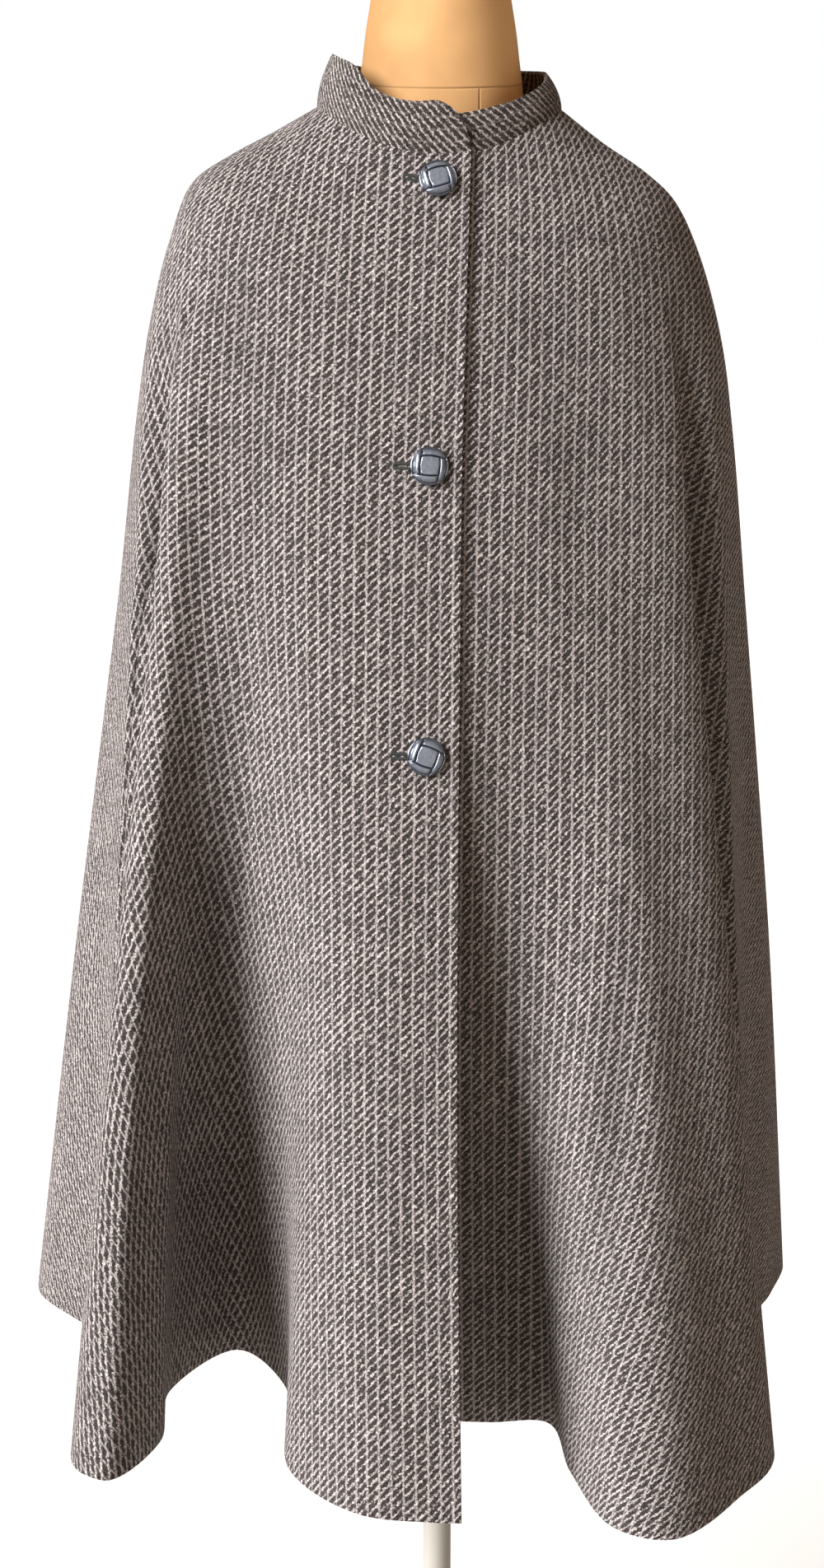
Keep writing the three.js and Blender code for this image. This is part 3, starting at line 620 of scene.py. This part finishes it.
def twill_group():
    """Thick twill: columns of slanting dark yarns on a light ground, with slubs, loose fibres and a mottled
    tone. Lengths are in metres."""
    group = bpy.data.node_groups.new("wool twill", "ShaderNodeTree")
    face = group.interface
    face.new_socket(name="Pattern", in_out="INPUT", socket_type="NodeSocketVector")
    face.new_socket(name="Place", in_out="INPUT", socket_type="NodeSocketVector")
    face.new_socket(name="Light Yarn", in_out="INPUT", socket_type="NodeSocketColor")
    face.new_socket(name="Dark Yarn", in_out="INPUT", socket_type="NodeSocketColor")
    face.new_socket(name="Column Line", in_out="INPUT", socket_type="NodeSocketFloat")
    face.new_socket(name="Colour", in_out="OUTPUT", socket_type="NodeSocketColor")
    face.new_socket(name="Roughness", in_out="OUTPUT", socket_type="NodeSocketFloat")
    face.new_socket(name="Height", in_out="OUTPUT", socket_type="NodeSocketFloat")
    given = group.nodes.new("NodeGroupInput")
    result = group.nodes.new("NodeGroupOutput")
    pattern = given.outputs["Pattern"]
    place = given.outputs["Place"]
    bend = add_node(group, "ShaderNodeTexNoise", [("Vector", pattern), ("Scale", 430.0), ("Detail", 3.0)])
    wander = add_node(group, "ShaderNodeVectorMath", [(0, bend.outputs["Color"]), (1, (0.5, 0.5, 0.5))],
                      operation="SUBTRACT")
    small = add_node(group, "ShaderNodeVectorMath", [(0, wander.outputs[0]), ("Scale", 0.0030)],
                     operation="SCALE")
    bent = add_node(group, "ShaderNodeVectorMath", [(0, pattern), (1, small.outputs[0])], operation="ADD")
    axes = add_node(group, "ShaderNodeSeparateXYZ", [("Vector", bent.outputs[0])])
    column_width, yarn_rise, slant = 0.0082, 0.00585, 1.38
    column = formula(group, "DIVIDE", axes.outputs["X"], column_width)
    in_column = formula(group, "FRACT", column)
    jitter = add_node(group, "ShaderNodeTexWhiteNoise", [("W", formula(group, "FLOOR", column))],
                      noise_dimensions="1D")
    slope = formula(group, "MULTIPLY", column, slant)
    rise = formula(group, "SUBTRACT", formula(group, "DIVIDE", axes.outputs["Y"], yarn_rise), slope)
    phase = formula(group, "ADD", rise, formula(group, "MULTIPLY", jitter.outputs["Value"], 0.22))
    wave = formula(group, "ABSOLUTE", formula(group, "SUBTRACT", formula(group, "FRACT", phase), 0.5))
    fibre = add_node(group, "ShaderNodeTexNoise", [("Vector", place), ("Scale", 880.0), ("Detail", 4.0),
                                                   ("Roughness", 0.8)])
    slub = add_node(group, "ShaderNodeTexNoise", [("Vector", place), ("Scale", 560.0), ("Detail", 4.0),
                                                  ("Roughness", 0.7)])
    mottle = add_node(group, "ShaderNodeTexNoise", [("Vector", pattern), ("Scale", 40.0), ("Detail", 3.0)])
    loosened = formula(group, "ADD", wave, formula(group, "MULTIPLY", formula(
        group, "SUBTRACT", slub.outputs["Fac"], 0.5), 1.15))
    loosened = formula(group, "ADD", loosened, formula(group, "MULTIPLY", formula(
        group, "SUBTRACT", mottle.outputs["Fac"], 0.5), 0.14))
    yarn = add_node(group, "ShaderNodeMapRange",
                    [("Value", loosened), ("From Min", 0.44), ("From Max", 0.25)],
                    interpolation_type="SMOOTHSTEP").outputs["Result"]
    side = formula(group, "MINIMUM", in_column, formula(group, "SUBTRACT", 1.0, in_column))
    gap = add_node(group, "ShaderNodeMapRange", [("Value", side), ("From Min", 0.02), ("From Max", 0.15)],
                   interpolation_type="SMOOTHSTEP").outputs["Result"]
    kept = formula(group, "SUBTRACT", 1.0, given.outputs["Column Line"])
    shade = formula(group, "ADD", kept, formula(group, "MULTIPLY", gap, given.outputs["Column Line"]))
    apart = formula(group, "ABSOLUTE", formula(group, "SUBTRACT", fibre.outputs["Fac"], 0.5))
    hair = add_node(group, "ShaderNodeMapRange", [("Value", apart), ("From Min", 0.045), ("From Max", 0.0)],
                    interpolation_type="SMOOTHSTEP").outputs["Result"]
    bare = formula(group, "SUBTRACT", 1.0, formula(group, "MULTIPLY", hair, 0.5))
    dark = formula(group, "MULTIPLY", formula(group, "MULTIPLY", yarn, shade), bare)
    ground = mix_colour(group, dark, given.outputs["Light Yarn"], given.outputs["Dark Yarn"])
    fleck = add_node(group, "ShaderNodeMapRange", [("Value", fibre.outputs["Fac"]), ("From Min", 0.35),
                                                   ("From Max", 0.67), ("To Min", 0.0), ("To Max", 2.35)])
    flecked = add_node(group, "ShaderNodeVectorMath", [(0, ground), ("Scale", fleck.outputs["Result"])],
                       operation="SCALE")
    group.links.new(flecked.outputs[0], result.inputs["Colour"])
    rough = add_node(group, "ShaderNodeMapRange", [("Value", slub.outputs["Fac"]), ("To Min", 0.8),
                                                   ("To Max", 0.98)])
    group.links.new(rough.outputs["Result"], result.inputs["Roughness"])
    raised = formula(group, "MULTIPLY", formula(group, "SUBTRACT", 1.0, dark), 0.5)
    height = formula(group, "ADD", raised, formula(group, "MULTIPLY", fibre.outputs["Fac"], 1.1))
    height = formula(group, "ADD", height, formula(group, "MULTIPLY", slub.outputs["Fac"], 0.8))
    group.links.new(height, result.inputs["Height"])
    return group


twill = twill_group()


def wool_material(name, light, dark, column_line):
    """The coating: twill yarns, raised nap, a soft sheen, and painted shade that darkens the colour in the
    creases.
    """
    material, tree, shader = new_material(name)
    flat = add_node(tree, "ShaderNodeUVMap", uv_map="flat pattern").outputs["UV"]
    woven = add_node(tree, "ShaderNodeGroup", node_tree=twill)
    tree.links.new(flat, woven.inputs["Pattern"])
    tree.links.new(add_node(tree, "ShaderNodeTexCoord").outputs["Object"], woven.inputs["Place"])
    woven.inputs["Light Yarn"].default_value = light
    woven.inputs["Dark Yarn"].default_value = dark
    woven.inputs["Column Line"].default_value = column_line
    # Painted shade: the colour is darkened by up to 93 percent where the crease attribute marks a crease.
    crease = add_node(tree, "ShaderNodeAttribute", attribute_name="crease").outputs["Fac"]
    painted_shade_factor = formula(tree, "MULTIPLY_ADD", crease, -0.93, 1.0)
    colour_with_painted_shade = add_node(tree, "ShaderNodeVectorMath", [(0, woven.outputs["Colour"]), ("Scale", painted_shade_factor)],
                      operation="SCALE")
    tree.links.new(colour_with_painted_shade.outputs[0], shader.inputs["Base Color"])
    tree.links.new(woven.outputs["Roughness"], shader.inputs["Roughness"])
    give_relief(tree, shader, woven.outputs["Height"], 0.9, 0.0013)
    shader.inputs["Specular IOR Level"].default_value = 0.15
    shader.inputs["Sheen Weight"].default_value = 0.06
    shader.inputs["Sheen Roughness"].default_value = 0.6
    shader.inputs["Sheen Tint"].default_value = (0.85, 0.78, 0.72, 1)
    return material


charcoal = (0.012, 0.0080, 0.0068, 1)
cape_wool = wool_material("cape wool", (0.515, 0.458, 0.444, 1), charcoal, 0.7)
under_creases = [
    (-1, -3.0, 26, [(55, 1333), (81, 1233), (92, 1100)]),
    (-1, 1.5, 26, [(118, 1290), (132, 1180), (140, 1040)]),
    (-1, -5.0, 14, [(126, 900), (112, 740), (100, 600)]),
    (-1, 1.6, 22, [(50, 980), (46, 820), (42, 660)]),
]
under_front = cape_panel("front_under_cloth", 0.0, right_seam, under_centre, 210, 170, cape_wool,
                         under_creases, folds=[(8, 1, 0.030, 0.015, 0.018)], drop=lap_drop)
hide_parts("cape_front_under")

# Back of the cape
# One wide panel of the same twill with its grain down the middle of the back. It is sewn to the fronts at
# both sides and falls from the shoulders in soft folds.
back_creases = [
    (1, -3.5, 16, [(-140, 1310), (-160, 1180), (-176, 1020), (-186, 860)]),
    (1, 2.0, 24, [(-110, 1280), (-118, 1120), (-122, 960)]),
    (1, -2.2, 26, [(-30, 1330), (-44, 1190), (-56, 1020)]),
    (1, 1.8, 28, [(10, 1290), (8, 1130), (6, 960)]),
    (1, -2.4, 22, [(52, 1340), (70, 1200), (84, 1030)]),
    (1, 2.0, 24, [(120, 1290), (132, 1140), (138, 970)]),
    (1, -3.0, 14, [(158, 1300), (176, 1170), (190, 1010), (196, 860)]),
    (1, -2.0, 18, [(20, 820), (28, 700), (36, 580)]),
]
middle_back = (right_seam + left_seam) / 2
back = cape_panel("back_cloth", right_seam, left_seam, middle_back, 220, 170, cape_wool, back_creases)
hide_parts("cape_back")

# Over front of the cape, the wearer's right
# The same panel mirrored. Its turned edge lies over the under front and carries the buttonholes, and the
# buttons come through it. A narrow crease runs down its side, past the deep fold, darkened with painted
# shade.
over_creases = [
    (-1, -3.0, 24, [(-150, 1330), (-127, 1234), (-122, 1100)]),
    (-1, -4.5, 15, [(-140, 1080), (-152, 900), (-156, 740)]),
    (-1, 1.6, 26, [(-80, 1150), (-84, 980), (-92, 800)]),
    (-1, -1.5, 24, [(-40, 860), (-36, 720), (-30, 560)]),
]
over_front = cape_panel("front_over_cloth", left_seam, 1.0, over_centre, 220, 170, cape_wool,
                        over_creases, folds=[(27, -1, 0.030, 0.020, 0.045)],
                        narrow=[(25.95, 0.19, 0.011, 0.0042)])
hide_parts("cape_front_over")

# Stand collar
# One straight band of the twill cut across its grain, doubled and pressed, sewn standing to the neck seam.
# The end on the over front is cut to a round corner.
collar_turn = [0, 25, 45, 70, 100, 135, 180, 225, 270, 298, 315, 328, 342, 360]
# Height and lean at each turn, in millimetres
collar_sizes = np.array([[28, 5], [27, 6], [24, 7], [23, 9], [27, 11], [27, 9], [26, 5], [29, 8], [35, 11],
                         [40, 9], [42, 7], [34, 7], [33, 7], [36, 7]]) / 1000
collar_wall = 0.0030
corner_radius = 0.027
tucked_below = 0.0009
collar_along = np.concatenate([np.linspace(0, 0.93, 200), np.linspace(0.93, 1, 61)[1:]])
collar_level = np.linspace(0, 1, 22)[None, :]
centred = np.clip(collar_along, under_centre, over_centre)
collar_angle = angle_round(centred)
neck = cloth_point(collar_along, 0.0)
neck_out = cloth_normal(collar_along, np.zeros_like(collar_along))
neck_drop = np.where(collar_along < 0.5, lap_drop(neck), 0)
neck_level = neck[:, 2] - neck_out[:, 2] * neck_drop
neck_out[:, 2] = 0
neck_out = unit(neck_out)
height, lean = curve_through(collar_turn, collar_sizes, collar_angle).T
to_edge = np.linalg.norm(neck - cloth_point(1.0, 0.0), axis=1)
corner = np.where(collar_along > 0.5, np.maximum(0, 1 - to_edge / corner_radius), 0)
cut = np.maximum(0.003, height * np.sqrt(1 - corner**2))
rise = cut[:, None] * collar_level
inward = neck_drop[:, None] + lean[:, None] * (rise / height[:, None]) ** 2
collar_points = neck[:, None, :] - neck_out[:, None, :] * inward[..., None]
collar_points[..., 2] = neck_level[:, None] - tucked_below + rise
collar_length = np.concatenate([[0], np.cumsum(np.linalg.norm(np.diff(neck, axis=0), axis=1))])
collar_wool = wool_material("collar wool", (0.490, 0.425, 0.402, 1), charcoal, 0.2)
collar = shaped_grid("collar_band", collar_points, collar_wool)
band_u = np.broadcast_to(collar_length[:, None], rise.shape)
lay_pattern(collar, np.stack([rise, -band_u], -1))
give_wall(collar, collar_wall, 0.0013, 4)
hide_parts("collar")
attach(collar, "root")

# Buttonholes
# Three slits across the over front, whipped all round with close stitches of dark thread that fan out at the
# ends. Each runs from 2 mm past the button's middle to 23.5 mm on the other side, away from the front edge.
button_heights = {"button_top": 1.357, "button_middle": 1.173, "button_bottom": 0.987}
levels_down = np.linspace(0, 1, 2001)
centre_heights = cloth_point(over_centre, levels_down)[:, 2]


def on_over_front(height, across, up, lift):
    """Points near a button, in metres: across and up from its middle along the cloth, lift off its face."""
    down = np.interp(height, centre_heights[::-1], levels_down[::-1])
    step = 0.0005
    here = cloth_point(over_centre, down)
    speed_across = np.linalg.norm(here - cloth_point(over_centre - step, down)) / step
    speed_down = np.linalg.norm(cloth_point(over_centre, down + step) - here) / step
    along = over_centre + np.where(across > 0, across / hem_length, across / speed_across)
    down = down - up / speed_down
    return cloth_point(along, down) + cloth_normal(along, down) * np.asarray(lift)[..., None], along, down


thread, tree, shader = new_material("dark buttonhole thread")
place = add_node(tree, "ShaderNodeTexCoord").outputs["Object"]
ply = add_node(tree, "ShaderNodeTexNoise", [("Vector", place), ("Scale", 2200.0), ("Detail", 2.0)])
tone = mix_colour(tree, ply.outputs["Fac"], (0.010, 0.013, 0.012, 1), (0.055, 0.062, 0.055, 1))
tree.links.new(tone, shader.inputs["Base Color"])
vary_roughness(tree, shader, ply.outputs["Fac"], 0.45, 0.7)
give_relief(tree, shader, ply.outputs["Fac"], 0.5, 0.0002)

slit_from, slit_to, slit_half = 0.002, -0.0235, 0.0003
slit_length = slit_from - slit_to
end_radius = 0.0008
half_round = math.pi * end_radius
stitch_reach = 0.0024
stitch_count = 84
stitch_lift = 0.0001
stitch_past_end, stitch_half_width, stitch_half_height = 0.0002, 0.00036, 0.00048
for button_name, height in button_heights.items():
    bm = bmesh.new()
    for number in range(stitch_count):
        at = (2 * slit_length + 2 * half_round) * number / stitch_count
        if at < slit_length:
            foot, out = (slit_to + at, slit_half), (0.0, 1.0)
        elif at < slit_length + half_round:
            turn = (at - slit_length) / end_radius
            foot, out = (slit_from, 0.0), (math.sin(turn), math.cos(turn))
        elif at < 2 * slit_length + half_round:
            foot, out = (slit_from - (at - slit_length - half_round), -slit_half), (0.0, -1.0)
        else:
            turn = (at - 2 * slit_length - half_round) / end_radius
            foot, out = (slit_to, 0.0), (-math.sin(turn), -math.cos(turn))
        reach = stitch_reach * (1 + 0.12 * math.sin(2.3 * number))
        start_point, _, _ = on_over_front(height, np.array(foot[0]), np.array(foot[1]), stitch_lift)
        end_point, along, down = on_over_front(
            height, np.array(foot[0] + out[0] * reach), np.array(foot[1] + out[1] * reach), stitch_lift)
        middle = Vector((start_point + end_point) / 2 + garment_centre)
        lengthways = Vector(end_point - start_point)
        facing = Vector(cloth_normal(along, down))
        sideways = facing.cross(lengthways).normalized()
        turned_to = Matrix((lengthways.normalized(), sideways, facing)).transposed().to_4x4()
        half_length = lengthways.length / 2 + stitch_past_end
        size = Matrix.Diagonal((half_length, stitch_half_width, stitch_half_height, 1))
        bmesh.ops.create_uvsphere(bm, u_segments=6, v_segments=5, radius=1.0,
                                  matrix=Matrix.Translation(middle) @ turned_to @ size)
    buttonhole = object_from(bm, "buttonhole_" + button_name.split("_")[1], thread)
    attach(buttonhole, "root")

# Buttons
# Moulded plastic shank buttons, 25.4 mm across, with a pearly gunmetal gloss. On the face four straps cross
# like a woven knot round a flat square, each lapping the next, and curve down to the rim.
button_radius = 0.0127
square_half = 0.0060
strap_width = 0.0041


def button_face(x, y):
    """Height of the moulded face over the rim, and how far each point is darkened, in the grooves and by
    painted shade towards the rim.
    """
    outward = np.hypot(x, y) / button_radius
    dome = 0.0036 * (1 - outward ** 2.2)
    groove = np.zeros_like(x)
    crown = np.zeros_like(x)
    p, q = x, y
    for _ in range(4):
        bow = 0.0006 * (1 - np.clip(p / square_half, -1.3, 1.3) ** 2)
        runs = smoothstep(square_half + 0.0002, square_half - 0.0006, p)
        inner = np.exp(-((q + square_half + bow) / 0.00065) ** 2) * runs
        outer = 0.8 * np.exp(-((q + square_half + strap_width + 2 * bow) / 0.00045) ** 2) * runs
        groove = np.maximum(groove, np.maximum(inner, outer))
        on_strap = smoothstep(0.0, 0.0006, -q - square_half) * runs
        crown = np.maximum(crown, on_strap * np.cos(np.clip(
            (-q - square_half - strap_width / 2) / strap_width, -0.5, 0.5) * math.pi))
        p, q = -q, p
    inside = smoothstep(square_half, square_half - 0.0008, np.maximum(np.abs(x), np.abs(y)))
    fade = 1 - smoothstep(0.86, 0.99, outward)
    face = dome * (1 - inside) + (0.0026 + 0.0002 * np.cos(x * 300)) * inside
    # Painted shade: the face darkens towards its rim, with a dark line at its very edge.
    shade = 0.55 * smoothstep(0.6, 0.95, outward) + 0.4 * smoothstep(0.92, 1.0, outward)
    return face + (0.0007 * crown - 0.0013 * groove) * fade, np.minimum(1, np.maximum(groove, shade))


pearl, tree, shader = new_material("gunmetal pearl plastic")
place = add_node(tree, "ShaderNodeTexCoord").outputs["Object"]
swirl = add_node(tree, "ShaderNodeTexNoise", [("Vector", place), ("Scale", 240.0), ("Detail", 4.0),
                                              ("Distortion", 1.6)])
depth = add_node(tree, "ShaderNodeAttribute", attribute_name="groove", attribute_type="GEOMETRY")
tone = add_node(tree, "ShaderNodeValToRGB", [("Fac", swirl.outputs["Fac"])])
tone.color_ramp.elements[0].position = 0.35
tone.color_ramp.elements[0].color = (0.23, 0.25, 0.31, 1)
tone.color_ramp.elements[1].position = 0.68
tone.color_ramp.elements[1].color = (0.33, 0.365, 0.44, 1)
# The groove attribute takes the colour towards near black, in the grooves and as painted shade towards the
# rim.
shaded = mix_colour(tree, depth.outputs["Fac"], tone.outputs["Color"], (0.005, 0.008, 0.018, 1))
tree.links.new(shaded, shader.inputs["Base Color"])
vary_roughness(tree, shader, swirl.outputs["Fac"], 0.16, 0.30)
shader.inputs["Metallic"].default_value = 0.5
shader.inputs["Coat Weight"].default_value = 0.7
shader.inputs["Coat Roughness"].default_value = 0.08
give_relief(tree, shader, swirl.outputs["Fac"], 0.06, 0.0004)

button_turns = {"button_top": -17, "button_middle": 4, "button_bottom": 20}
rim_profile = np.array([[0.0, 0.0], [0.0085, 0.0], [0.0112, 0.0004], [0.0122, 0.0010], [0.0126, 0.0018],
                        [0.0127, 0.0026]])
for name, height in button_heights.items():
    turn = np.linspace(0, 2 * math.pi, 193)[:, None]
    face_radius = button_radius * (1 - np.linspace(0, 1, 64)[None, :] ** 1.25)
    x, y = face_radius * np.cos(turn), face_radius * np.sin(turn)
    raised, groove = button_face(x, y)
    face_lift = rim_profile[-1, 1] + raised
    under_x, under_y = rim_profile[:, 0] * np.cos(turn), rim_profile[:, 0] * np.sin(turn)
    under_lift = np.broadcast_to(rim_profile[:, 1], under_x.shape)
    xs = np.concatenate([under_x[:, :-1], x], axis=1)
    ys = np.concatenate([under_y[:, :-1], y], axis=1)
    lifts = np.concatenate([under_lift[:, :-1], face_lift], axis=1)
    groove_dark_and_painted_rim_shade = np.concatenate([np.zeros_like(under_x[:, :-1]), groove], axis=1)
    seat, along, down = on_over_front(height, np.array(0.0), np.array(0.0), 0.0003)
    facing = cloth_normal(along, down)
    side = unit(np.cross(np.array([0, 0, 1.0]), facing))
    upward = np.cross(facing, side)
    spin = math.radians(button_turns[name])
    right = side * math.cos(spin) - upward * math.sin(spin)
    top = side * math.sin(spin) + upward * math.cos(spin)
    places = seat + xs[..., None] * right + ys[..., None] * top + lifts[..., None] * facing
    button = shaped_grid(name.replace("button", "pearl_button"), places, pearl)
    # The darkening in the grooves and the painted rim shade, for the material to read.
    point_values(button, "groove", groove_dark_and_painted_rim_shade)
    bm = bmesh.new()
    bm.from_mesh(button.data)
    bmesh.ops.remove_doubles(bm, verts=bm.verts, dist=0.000005)
    bmesh.ops.recalc_face_normals(bm, faces=bm.faces)
    bm.to_mesh(button.data)
    bm.free()
    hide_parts(name)
    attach(button, "root")

bpy.context.view_layer.update()
